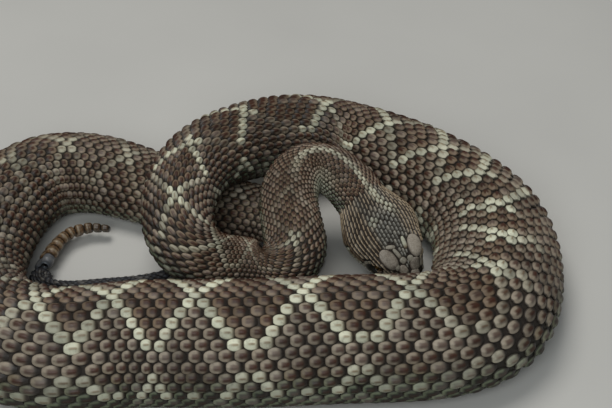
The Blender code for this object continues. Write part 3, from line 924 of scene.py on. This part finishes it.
def scale_paint():
    """Coat of the back and flanks: brown and grey scales with paler rims that also hold a painted highlight,
    painted shade at their roots, a low flank darkened with painted shade, and the diamonds' cream borders.
    """
    paint = Paint("back_scales", Specular_IOR_Level=0.4)
    along, across, rim, tone = paint.parts("place")
    pale, dark, low, tail = paint.parts("marks")
    clouds = paint.noise(420.0)
    grain = paint.noise(2600.0, 2.0)
    spread = across + (clouds - 0.5) * 0.35
    edge = paint.mix(paint.mix(FLANK_RIM_AND_HIGHLIGHT, DIAMOND_RIM_AND_HIGHLIGHT, dark), LOW_RIM_AND_HIGHLIGHT, low)
    sides = (spread - 0.12 * low).rises(0.25, 0.6)
    # A paler rim on each scale's sides and tip: partly the scale's own colour, partly a painted highlight.
    ring = sides.most((along - 0.1 * low).rises(0.58, 0.84)) * along.rises(0.25, 0.5)
    # Painted shade at each scale's root, where it lies under the tip of the scale ahead.
    root = 1 - along.rises(0.12, 0.5)
    heart = (1 - spread.rises(0.12, 0.55)) * along.rises(0.15, 0.35) * (1 - along.rises(0.6, 0.82))
    streak = (1 - across.rises(0.05, 0.3)) * along.rises(0.2, 0.4) * (1 - along.rises(0.6, 0.85))
    gap = rim.rises(0.3, 0.9).most(1 - along.rises(0.1, 0.34)).most(across.rises(0.8, 0.98) * 0.85)
    gap = gap.most(along.rises(0.92, 1.0) * 0.85)
    base = paint.layers(
        FLANK,
        (DIAMOND, dark),
        # The low flank's colour: partly its greenish grey, partly painted shade of the lower side.
        (LOW_FLANK_AND_SHADE, low),
        # Paler rims, partly a painted highlight.
        (edge, ring * 0.85),
        # Painted shade at the roots, stronger on dark scales.
        (colour(40, 30, 22), root * (0.65 + 0.3 * dark)),
        (STREAK, heart * (0.92 - 0.5 * low)),
        # Cream scales, with the brown of a keel streak and painted shade at the root.
        (paint.mix(CREAM, CREAM_STREAK_AND_SHADE, streak.most(root * 0.8) * 0.8), pale),
        (TAIL, tail),
        (colour(52, 42, 34), clouds.rises(0.5, 0.8) * 0.4),
        (colour(30, 24, 18), paint.noise(40.0).rises(0.4, 0.75) * 0.35),
        (colour(225, 216, 200), tone.rises(0.6, 1.0) * 0.12),
        (SHADOW, (1 - tone.rises(0.0, 0.5)) * 0.35),
        (paint.mix(GROUND_SKIN, PALE_SKIN, pale * 0.4), gap),
    )
    return paint.finish(base, 0.36 + 0.2 * clouds + 0.1 * ring, grain * 0.5 + clouds, 0.3, 0.0003)


def skin_paint():
    """The skin, which shows dark between the scales."""
    paint = Paint("skin", Specular_IOR_Level=0.3)
    pale, _, low, tail = paint.parts("marks")
    folds = paint.noise(900.0)
    base = paint.layers(
        GROUND_SKIN,
        (colour(70, 62, 52), folds.rises(0.4, 0.8) * 0.5),
        (PALE_SKIN, pale * 0.7),
        # Darker and greener skin on the low flank, partly painted shade of the lower side.
        (colour(30, 32, 25), low * 0.7),
        (TAIL, tail * 0.8),
    )
    return paint.finish(base, 0.6 + 0.2 * folds, folds, 0.4, 0.0005)


def belly_paint():
    """Plates of the belly: pale, clouded, and darker to their ends and under the tail."""
    paint = Paint("belly_plates", Specular_IOR_Level=0.45)
    along, across, rim, _ = paint.parts("place")
    tail = paint.parts("marks")[3]
    clouds = paint.noise(300.0)
    base = paint.layers(
        BELLY,
        (colour(140, 134, 112), clouds.rises(0.45, 0.75) * 0.6),
        (colour(112, 106, 90), across.rises(0.75, 1.0) * 0.5),
        (TAIL, tail * 0.8),
        (GROUND_SKIN, rim.rises(0.3, 0.9).most(1 - along.rises(0.0, 0.15))),
    )
    return paint.finish(base, 0.36 + 0.15 * clouds, clouds, 0.15, 0.0003)


# The skin and its coat


def skin_marks(distance, share):
    """Markings of the skin, which are those of the scale over each place."""
    row = np.round(lattice.row(distance, share))
    odd = row % 2 * 0.5
    count = np.interp(distance, lattice.distance, lattice.count)
    marks = lattice.marks(np.round(count - odd) + odd, row)
    return np.stack([*marks, ease(distance, *TAIL_DARK)], axis=-1)


def skin():
    """One closed skin of the whole animal, and its head's quads as a tree to lay plates on."""
    head = np.arange(surface.first, 0, HEAD_STEP)
    body = np.arange(0, surface.last + BODY_STEP, BODY_STEP)
    along = np.r_[head, np.minimum(body, surface.last)]
    distance, share = np.meshgrid(along, np.linspace(-0.5, 0.5, SKIN_ROUND + 1)[:-1], indexing="ij")
    points, _ = surface.at(distance, share, -SKIN_DEPTH * table_at(PITCH, distance) / FULL_PITCH)
    points[..., 2] = np.maximum(points[..., 2], SKIN_FLOOR)
    points = points.reshape(-1, 3)
    rows, columns = distance.shape
    place_u = np.interp(along, [surface.first, 0, surface.last], [0.005, 0.2, 0.995])
    hubs, caps, cap_uv = [], [], []
    for start, edge in ((0, 0.002), ((rows - 1) * columns, 0.998)):
        ring = np.arange(start, start + columns)
        hub = len(points) + len(hubs)
        hubs.append(points[ring].mean(axis=0))
        for k in range(0, columns, 2):
            a, b, c = ring[k], ring[k + 1], ring[(k + 2) % columns]
            caps.append((hub, a, b, c) if start else (hub, c, b, a))
            cap_uv += [(edge, (k + 1) / columns)] * 4
    marks = skin_marks(distance, share).reshape(-1, 4)
    marks = np.vstack([marks, marks[:1], marks[-1:]])
    points = np.vstack([points, hubs])
    quads = np.vstack([ring_faces(rows, columns), caps])
    uv = np.vstack([ring_uv(place_u, np.linspace(0.005, 0.995, columns + 1)), cap_uv])
    nodes = ["head", "lower_jaw", "neck_front", "neck_back", "tail_root", "tail_bend", "tail"]
    nodes += [f"body_{k}" for k in range(1, 11)]
    mesh = quad_mesh("skin", points, quads, uv, {"marks": marks})
    show("skin", mesh, skin_paint(), nodes)
    near_head = (len(head) + NAPE_RINGS) * columns
    faces = quads[np.max(quads, axis=1) < near_head]
    return BVHTree.FromPolygons(points[:near_head].tolist(), faces.tolist())


def coat_items(start, end):
    """Every scale of the back and flanks whose middle lies between two distances."""
    found = lattice.scales(start, end, BODY_ROWS)
    distance, share = found[:2]
    step = lattice.row_width(distance) / surface.girth_at(distance)
    distance, share, count, row = found[:, np.abs(share) < table_at(BELLY_EDGE, distance) - 0.5 * step]
    pitch = lattice.pitch(distance)
    width = lattice.row_width(distance)
    girth = surface.girth_at(distance)
    to_edge = (table_at(BELLY_EDGE, distance) - np.abs(share)) * girth / width
    lowest = to_edge < 1.5
    share = np.where(lowest, np.sign(share) * (np.abs(share) + 0.35 * width / girth), share)
    width = np.where(lowest, 1.75, 1.0 + 0.2 * (to_edge < 2.5)) * width
    stretch = np.clip(surface.stretch(distance, share), 0.6, 1.3)
    number = len(distance)
    tone = draws.uniform(0, 1, number)
    side = np.abs(share) / table_at(BELLY_EDGE, distance)
    return {
        "distance": distance + draws.normal(0, 0.05, number) * pitch,
        "share": share + draws.normal(0, 0.03, number) * width / girth,
        "length": 1.05 * pitch * stretch * draws.uniform(0.95, 1.05, number),
        "width": 1.18 * width * (0.76 + 0.24 * stretch) * draws.uniform(0.95, 1.04, number),
        "thick": pitch / FULL_PITCH * (0.6 + 0.4 * np.minimum(stretch, 1)),
        "dome": 1.35 - 0.4 * ease(side, 0.7, 1.0),
        "keel": 0.8 * (1 - ease(side, 0.75, 0.95)),
        "tilt": 0.45 + draws.normal(0, 0.08, number),
        "tone": tone,
        "marks": np.stack([*lattice.marks(count, row), ease(distance, *TAIL_DARK)], axis=-1),
        **picture_cells(distance, share, (start, end), pitch, width, 0.96, 0.82),
    }


def body_coat():
    material = scale_paint()
    for name, start, end, detail in COATS:
        mesh = coat_mesh(name, [lay_scales(coat_items(start, end), detail)])
        show(name, mesh, material)


def belly_plates():
    """Broad plates across the belly, each over the front of the next."""
    found = []
    at = 2.0
    while at < surface.last - 3:
        found.append(at)
        at += SCUTE_PITCH * float(table_at(PITCH, at))
    distance = per_scale(found)
    pitch = table_at(PITCH, distance) * SCUTE_PITCH
    u, v = np.meshgrid([0, 0.25, 0.5, 0.75, 0.92, 1.0], np.linspace(-1, 1, 17), indexing="ij")
    rim = np.zeros_like(u)
    rim[-1] = rim[:, 0] = rim[:, -1] = 1
    reach = distance + (u - 0.5) * 1.3 * pitch - 0.35 * pitch * v ** 2
    share = 0.5 + v * (0.5 - table_at(BELLY_EDGE, distance) + 0.004)
    lift = pitch / FULL_PITCH * (-1.0 - 0.3 * (1 - ease(u, 0, 0.3)) + 0.7 * u - 0.5 * rim)
    points, _ = surface.at(reach, share, lift)
    points[..., 2] = np.maximum(points[..., 2], SCALE_FLOOR)
    tone = per_scale(draws.uniform(0, 1, len(found)))
    place = np.stack(np.broadcast_arrays(u, np.abs(v), rim, tone), axis=-1)
    tail = ease(distance, *TAIL_DARK)
    marks = np.stack(np.broadcast_arrays(0 * u, 0 * u, 1 + 0 * u, tail), axis=-1)
    picture_u = (distance + (u - 0.5) * 0.85 * pitch) / surface.last * 0.97 + 0.01
    uv = np.stack(np.broadcast_arrays(picture_u, 0.5 + 0.45 * v), axis=-1)
    mesh = coat_mesh("belly_plates", [(points, place, marks, uv)])
    show("belly_plates", mesh, belly_paint())


# The head's plates and small scales


def head_point(share, rise, side):
    """A point in the head's own frame: share of its length, height and distance to the left."""
    ahead = surface.forward * share * surface.head_length
    return surface.nape + ahead + surface.crown * rise + surface.left * side


def eye_middle(hand):
    share, side, rise = EYE_PLACE
    return head_point(share, rise, side * hand)


# Each kind of plate gives middle, normal, lengthwise axis, sizes, dome, bluntness, turn and looks.


def side_plates(hand):
    for share, place, length, width, turn, dome, blunt, reading in SIDE_PLATES:
        distance = -share * surface.head_length
        if reading == "side":
            round_at = surface.share_at(distance, place, hand)
        else:
            round_at = surface.share_across(distance, place, hand, True)
        middle, normal = surface.at(distance, round_at)
        yield middle, normal, -surface.forward, (length, width), dome, blunt, hand * radians(turn), reading


def lip_plates(hand):
    step = (LIP_SPAN[1] - LIP_SPAN[0]) / LIP_PLATES
    for k in range(LIP_PLATES):
        share = LIP_SPAN[0] + step * (k + 0.5)
        distance = -share * surface.head_length
        climb = table_at(MOUTH, share + 0.03) - table_at(MOUTH, share - 0.03)
        way = -surface.forward - surface.crown * climb / (0.06 * surface.head_length)
        for level, full, looks in zip((1, -1), LIP_HEIGHTS, ("lip", "low_lip")):
            height = full * (0.78 + 0.22 * ease(k, 1, 5))
            rise = table_at(MOUTH, share) + level * (LIP_GAP + height / 2)
            middle, normal = surface.at(distance, surface.share_at(distance, rise, hand))
            yield middle, normal, way, (step * surface.head_length * 1.03, height), 0.35, 4.0, 0.0, looks


def eye_plates(hand):
    for k in range(EYE_RING):
        turn = radians(EYE_RING_TURNS[0] + EYE_RING_TURNS[1] * k / (EYE_RING - 1))
        out = surface.forward * cos(turn) + surface.crown * sin(turn)
        middle = eye_middle(hand) + out * EYE_RING_RADIUS + surface.left * hand * EYE_RING_OUT
        normal = unit(surface.left * hand + out * 0.35)
        yield middle, normal, out, EYE_RING_SIZE, 0.5, 3.0, 0.0, "side"


def crown_plates():
    for share, place, length, width, turn, dome, blunt, looks in CROWN_PLATES:
        distance = -share * surface.head_length
        middle, normal = surface.at(distance, surface.share_across(distance, abs(place), np.sign(place)))
        yield middle, normal, -surface.forward, (length, width), dome, blunt, radians(turn), looks


def front_plates():
    for rise, width, height, dome, facing_up, looks in FRONT_PLATES:
        normal = unit(surface.forward + surface.crown * facing_up)
        middle = head_point(FRONT_SHARE, rise, 0)
        yield middle, normal, -surface.crown, (height, width), dome, 3.0, 0.0, looks


def plate_frames():
    """Middle, normal, lengthwise and crosswise axes, sizes, dome, bluntness and looks of every plate."""
    plates = []
    for hand in (1, -1):
        plates += [*side_plates(hand), *lip_plates(hand), *eye_plates(hand)]
    plates += [*crown_plates(), *front_plates()]
    frames = []
    for middle, normal, way, sizes, dome, blunt, turn, looks in plates:
        way = unit(way - normal * (way @ normal))
        way = way * cos(turn) + np.cross(normal, way) * sin(turn)
        frames.append((middle, normal, way, np.cross(normal, way), sizes, dome, blunt, looks))
    return frames


def lay_plates(frames, skin_tree):
    """Plates as round-cornered patches dropped on the skin, domed, with their rims sunk into it."""
    u, v, rim = patch_grid("fine")
    rim[0] = 1
    groups = []
    for k, (middle, normal, length_way, cross_way, sizes, dome, blunt, looks) in enumerate(frames):
        half = np.maximum(np.maximum(1 - np.abs(2 * u - 1) ** blunt, 0.0) ** (1 / blunt), 0.25)
        x = (u - 0.5) * sizes[0]
        y = v * half * sizes[1] / 2
        crown = np.maximum(1 - np.abs(v) ** 2.6, 0) * np.maximum(1 - np.abs(2 * u - 1) ** 2.6, 0) ** 0.8
        lift = PLATE_THICK * (0.35 + dome * crown - 1.5 * rim) + SKIN_DEPTH * 0.3
        points = np.zeros(u.shape + (3,))
        for at in np.ndindex(u.shape):
            start = middle + length_way * x[at] + cross_way * y[at]
            hit, hit_normal, _, _ = skin_tree.ray_cast(Vector(start + normal * 6), Vector(-normal), 14)
            if hit is None:
                hit, hit_normal, _, _ = skin_tree.find_nearest(Vector(start))
            points[at] = np.array(hit) + unit(normal + np.array(hit_normal) * 0.6) * lift[at]
        place = np.stack([u, np.abs(v), rim, np.full_like(u, draws.uniform())], axis=-1)
        marks = np.broadcast_to(np.array(LOOKS[looks]), u.shape + (4,))
        cell = np.array([(k % 10 + 0.5) / 10, (k // 10 + 0.5) / 12])
        uv = cell + np.stack([(u - 0.5) * 0.085, v * 0.036], axis=-1)
        groups.append([values[None] for values in (points, place, marks, uv)])
    return groups


def head_paint():
    """Small scales and plates of the head: grey crown, brown temples, pale lips and chin."""
    paint = Paint("head_scales", Specular_IOR_Level=0.4)
    along, across, rim, tone = paint.parts("place")
    pale, dark, low, plate = paint.parts("marks")
    clouds = paint.noise(520.0)
    grain = paint.noise(3200.0)
    streaks = paint.noise(1500.0, 3.0, 0.6)
    spread = across + (clouds - 0.5) * 0.3
    keel = paint.mix(colour(160, 157, 146), colour(184, 160, 126), dark)
    ridge = (1 - spread.rises(0.08, 0.5)) * along.rises(0.12, 0.4) * (1 - along.rises(0.9, 1.0))
    shield = paint.mix(colour(158, 149, 136), colour(112, 98, 84), streaks.rises(0.4, 0.7) * 0.75)
    shield = paint.mix(shield, colour(96, 80, 68), across.rises(0.75, 1.0) * 0.6)
    base = paint.layers(
        colour(86, 83, 76),
        (colour(48, 34, 24), dark),
        (keel, ridge * (0.9 - 0.6 * dark.rises(0.8, 1.0))),
        (shield, plate),
        (colour(140, 138, 116), low * 0.85),
        # Pale scales, with painted shade at their roots.
        (paint.mix(CREAM, CREAM_STREAK_AND_SHADE, 1 - along.rises(0.1, 0.5)), pale),
        (colour(58, 46, 36), clouds.rises(0.5, 0.8) * 0.4),
        (colour(225, 215, 195), tone.rises(0.5, 1.0) * 0.12),
        (SHADOW, (1 - tone.rises(0.0, 0.5)) * 0.2),
        (GROUND_SKIN, rim.rises(0.35, 0.95).most((1 - along.rises(0.06, 0.3)) * (1 - plate))),
    )
    return paint.finish(base, 0.42 + 0.2 * clouds, grain * 0.6 + clouds, 0.3, 0.0002)


def head_marks(distance, share, point):
    """Pale, brown and low marks of the small scales of the head."""
    ahead, left, up = surface.head_place(point)
    side = np.abs(left)
    brown = 0.8 * ease(side, 6.0, 10.0) * ease(up, -5.0, -1.0)
    behind_eye = ease(up, -3.0, -1.0) * (1 - ease(up, 4.0, 6.0)) * ease(ahead, 4.0, 10.0)
    brown = np.maximum(brown, behind_eye * ease(side, 8.0, 10.0))
    brown = np.maximum(brown, 0.7 * (1 - ease(side, 4.0, 9.0)) * (1 - ease(ahead, 2, 12)))
    low = ease(-up, 2.5, 6.0)
    away = np.abs(lattice.row(distance, share) - table_at(NECK_LINE, distance))
    pale = 0.7 * table_at(NECK_LINE, distance, 2) * (1 - ease(away, 0.8, 1.8))
    spot = np.hypot(ahead - CROWN_SPOT[0], left - CROWN_SPOT[1]) < CROWN_SPOT[2]
    return np.where(spot, 0.3, pale), np.where(spot, 0, brown * (1 - low)), low


def clear_places(point, pitch, frames):
    """Whether places of small scales are clear of the eyes, the pits and the plates."""
    clear = np.ones(len(point), bool)
    for hand in (1, -1):
        clear &= np.linalg.norm(point - eye_middle(hand), axis=1) > EYE_CLEAR
        clear &= np.linalg.norm(point - head_point(PIT[0], PIT[1], PIT_SIDE * hand), axis=1) > PIT_CLEAR
    for middle, normal, length_way, cross_way, sizes, _, blunt, _ in frames:
        offset = point - middle
        x = np.abs(offset @ length_way) / (sizes[0] / 2 + 0.30 * pitch)
        y = np.abs(offset @ cross_way) / (sizes[1] / 2 + 0.22 * pitch)
        clear &= (x ** blunt + y ** blunt > 1) | (np.abs(offset @ normal) > 5)
    return clear


def head_coat(skin_tree):
    frames = plate_frames()
    groups = lay_plates(frames, skin_tree)
    distance, share, _, _ = lattice.scales(surface.first + 4, 0, HEAD_ROWS)
    point, _ = surface.at(distance, share)
    keep = (np.abs(share) < 0.497) & clear_places(point, table_at(PITCH, distance), frames)
    distance, share, point = distance[keep], share[keep], point[keep]
    pale, dark, low = head_marks(distance, share, point)
    pitch = table_at(PITCH, distance)
    width = lattice.row_width(distance)
    under = ease(np.abs(share), 0.33, 0.36)
    number = len(distance)
    items = {
        "distance": distance + draws.normal(0, 0.04, number) * pitch,
        "share": share,
        "length": (1.2 + 0.3 * dark) * pitch * draws.uniform(0.94, 1.06, number),
        "width": (1.08 - 0.12 * dark) * width * draws.uniform(0.94, 1.04, number),
        "thick": 0.38,
        "dome": 0.9 - 0.5 * under,
        "keel": 1.3 * (1 - under),
        "tilt": 0.6,
        "tone": draws.uniform(0, 1, number),
        "marks": np.stack([pale, dark, low, 0 * low], axis=-1),
        **picture_cells(distance, share, (surface.first, 0), pitch, width, 0.94, 0.8),
    }
    material = head_paint()
    show("scales_head", coat_mesh("scales_head", [lay_scales(items, "middle")]), material)
    show("plates_head", coat_mesh("plates_head", groups), material)


# Eyes and rattle


def eye_paint():
    """A brown iris with specks and an upright slit of a pupil."""
    paint = Paint("eye", Roughness=0.06, Coat_Weight=0.6, Coat_Roughness=0.03)
    gaze = paint.node("ShaderNodeAttribute", {"attribute_name": "gaze"}, {})
    split = paint.node("ShaderNodeSeparateXYZ", {}, {0: gaze})
    forward, upward = (Link(paint, split.socket.node.outputs[k]) for k in (0, 2))
    radius = (forward * forward + upward * upward) ** 0.5
    slit = 0.17 - 0.14 * (upward * upward) * 1.6
    pupil = 1 - (forward.math("ABSOLUTE", forward) - slit).rises(0.0, 0.05)
    specks = paint.noise(2400.0, 4.0, 0.7)
    base = paint.layers(
        colour(120, 92, 48),
        (colour(60, 42, 26), specks.rises(0.35, 0.65)),
        (colour(38, 28, 20), radius.rises(0.55, 0.95)),
        (colour(6, 5, 5), pupil),
    )
    return paint.finish(base)


def eyes():
    material = eye_paint()
    up_steps, round_steps = EYE_STEPS
    pole = np.linspace(0.02, pi - 0.02, up_steps)[:, None]
    ring = np.linspace(0, 2 * pi, round_steps + 1)[None, :-1]
    local = np.broadcast_arrays(np.sin(pole) * np.cos(ring), np.cos(pole), np.sin(pole) * np.sin(ring))
    local = np.stack(local, axis=-1).reshape(-1, 3)
    gaze = np.column_stack([local, np.ones(len(local))])
    quads = ring_faces(up_steps, round_steps)
    corners = ring_uv(np.linspace(0.01, 0.99, up_steps), np.arange(round_steps + 1) / round_steps)
    corners = corners[:, ::-1].reshape(-1, 4, 2)
    for name, hand, order in (("eye_left", 1, [0, 3, 2, 1]), ("eye_right", -1, [1, 2, 3, 0])):
        axes = np.array([surface.forward, surface.left * hand, surface.crown])
        points = eye_middle(hand) + local * EYE_RADIUS @ axes
        uv = corners[:, order].reshape(-1, 2)
        mesh = quad_mesh(name + "_ball", points, quads[:, order], uv, {"gaze": gaze})
        show(name + "_ball", mesh, material, [name])


def rattle_paint():
    """Brown horn with a painted highlight on each segment's swelling and painted shade in the dip and in the
    grooves between the segments, grey on the first.
    """
    paint = Paint("rattle_horn", Specular_IOR_Level=0.5)
    at, size, first, tone = paint.parts("place")
    streaks = paint.noise(700.0, 3.0, 0.6)
    base = paint.layers(
        colour(122, 96, 68),
        (colour(66, 46, 30), streaks.rises(0.35, 0.7)),
        # Painted highlight on the swelling at the front of each segment.
        (colour(160, 148, 126), at.rises(0.12, 0.3) * (1 - at.rises(0.38, 0.5)) * 0.5),
        # Painted shade in the dip at the middle of each segment.
        (colour(70, 50, 32), at.rises(0.44, 0.5) * (1 - at.rises(0.5, 0.6)) * 0.6),
        # Painted shade in the grooves where each segment narrows into the next.
        (colour(24, 18, 14), 1 - size.rises(0.62, 0.9)),
        (colour(92, 98, 104), first * 0.8),
        (colour(44, 36, 30), tone.rises(0.6, 0.95) * 0.7),
    )
    return paint.finish(base, 0.26 + 0.2 * streaks, streaks, 0.3, 0.0003)


def segment_rings(line, along, ends):
    """Rings of vertices of the segments, and each ring's share, size, first segment and age."""
    back = unit(np.gradient(line, axis=0))
    turn = np.linspace(0, 2 * pi, RATTLE_ROUND, endpoint=False)
    groove = 1 - RATTLE_GROOVE * np.abs(np.sin(turn)) ** 8
    lean = radians(RATTLE_LEAN)
    rings, places = [], []
    for k in range(SEGMENTS):
        slim = (k / (SEGMENTS - 1)) ** 2.4
        tall, thick = np.array(SEGMENT_FIRST) * (1 - slim) + np.array(SEGMENT_LAST) * slim
        for at, size in BELL:
            reach = ends[k] + (ends[k + 1] - ends[k]) * at
            read = [[np.interp(reach, along, curve[:, axis]) for axis in range(3)] for curve in (line, back)]
            aim = unit(np.array(read[1]))
            long_side = np.array((0, 0, 1.0)) * cos(lean) + np.cross(aim, (0, 0, 1.0)) * sin(lean)
            out_long = np.outer(tall * size * np.cos(turn), long_side)
            out_short = np.outer(thick * size * power(np.sin(turn), 0.8) * groove, np.cross(aim, long_side))
            rings.append(read[0] + out_long + out_short)
            places.append((at, size, 1.0 if k == 0 else 0.0, k / (SEGMENTS - 1)))
    return np.array(rings), np.array(places)


def rattle():
    """The rattle's segments, each a bell over the front of the next, as one closed mesh."""
    route = np.array([(x, y, RATTLE_HEIGHT) for x, y in RATTLE_ROUTE], float) + (*CENTRE, 0)
    fine, _ = spaced(through(route), RATTLE_STEP)
    line, along = spaced(smooth(fine, RATTLE_SPREAD, RATTLE_STEP), RATTLE_STEP)
    lengths = np.linspace(1.0, SEGMENT_SHORTER, SEGMENTS)
    ends = np.r_[0, np.cumsum(lengths)] / lengths.sum() * along[-1]
    rings, places = segment_rings(line, along, ends)
    rows, columns = rings.shape[:2]
    outer = np.arange(rows * columns).reshape(rows, columns)[[0, -1]]
    half = range(columns // 2 - 1)
    caps = [(ring[a], ring[a + 1], ring[-a - 2], ring[-a - 1]) for ring in outer for a in half]
    quads = np.vstack([ring_faces(rows, columns), caps])
    uv = ring_uv(np.linspace(0.01, 0.99, rows), np.linspace(0.01, 0.99, columns + 1))
    uv = np.vstack([uv, np.full((4 * len(caps), 2), 0.995)])
    place = np.repeat(places, columns, axis=0)
    mesh = quad_mesh("rattle_segments", rings.reshape(-1, 3), quads, uv, {"place": place})
    show("rattle_segments", mesh, rattle_paint(), ["rattle"])


# Floor, light and camera


def floor():
    paint = Paint("floor", Specular_IOR_Level=0.2)
    base = paint.mix(colour(214, 212, 206), colour(196, 194, 189), paint.noise(6.0))
    corners = np.array([(-1, -1, 0), (1, -1, 0), (1, 1, 0), (-1, 1, 0)]) * FLOOR_REACH
    mesh = quad_mesh("floor", corners, np.array([[0, 1, 2, 3]]))
    mesh.materials.append(paint.finish(base, 0.85))
    thing = put("floor", mesh)


def aim_at(thing, place, target):
    """Puts a lamp or a camera at a place, looking at a target."""
    thing.location = place
    thing.rotation_euler = (Vector(target) - Vector(place)).to_track_quat("-Z", "Y").to_euler()


def lights():
    for name, place, target, watts, tint in LAMPS:
        light = bpy.data.lights.new(name, "AREA")
        light.shape = "DISK"
        light.size = LAMP_SIZE
        light.energy = watts
        light.color = tint
        aim_at(put(name, light), place, target)
    world = bpy.data.worlds.new("studio")
    bpy.context.scene.world = world
    world.use_nodes = True
    background = world.node_tree.nodes["Background"].inputs
    background["Color"].default_value = WORLD_TINT
    background["Strength"].default_value = WORLD_STRENGTH


def camera():
    lens = bpy.data.cameras.new("camera")
    lens.lens = CAMERA_LENS
    lens.sensor_width = CAMERA_SENSOR
    lens.clip_start = CAMERA_NEAR
    thing = put("camera", lens)
    aim_at(thing, CAMERA_PLACE, CAMERA_TARGET)
    bpy.context.scene.camera = thing


camera()
skin_tree = skin()
body_coat()
head_coat(skin_tree)
belly_plates()
eyes()
rattle()
floor()
lights()
bpy.context.scene.view_settings.view_transform = "Standard"
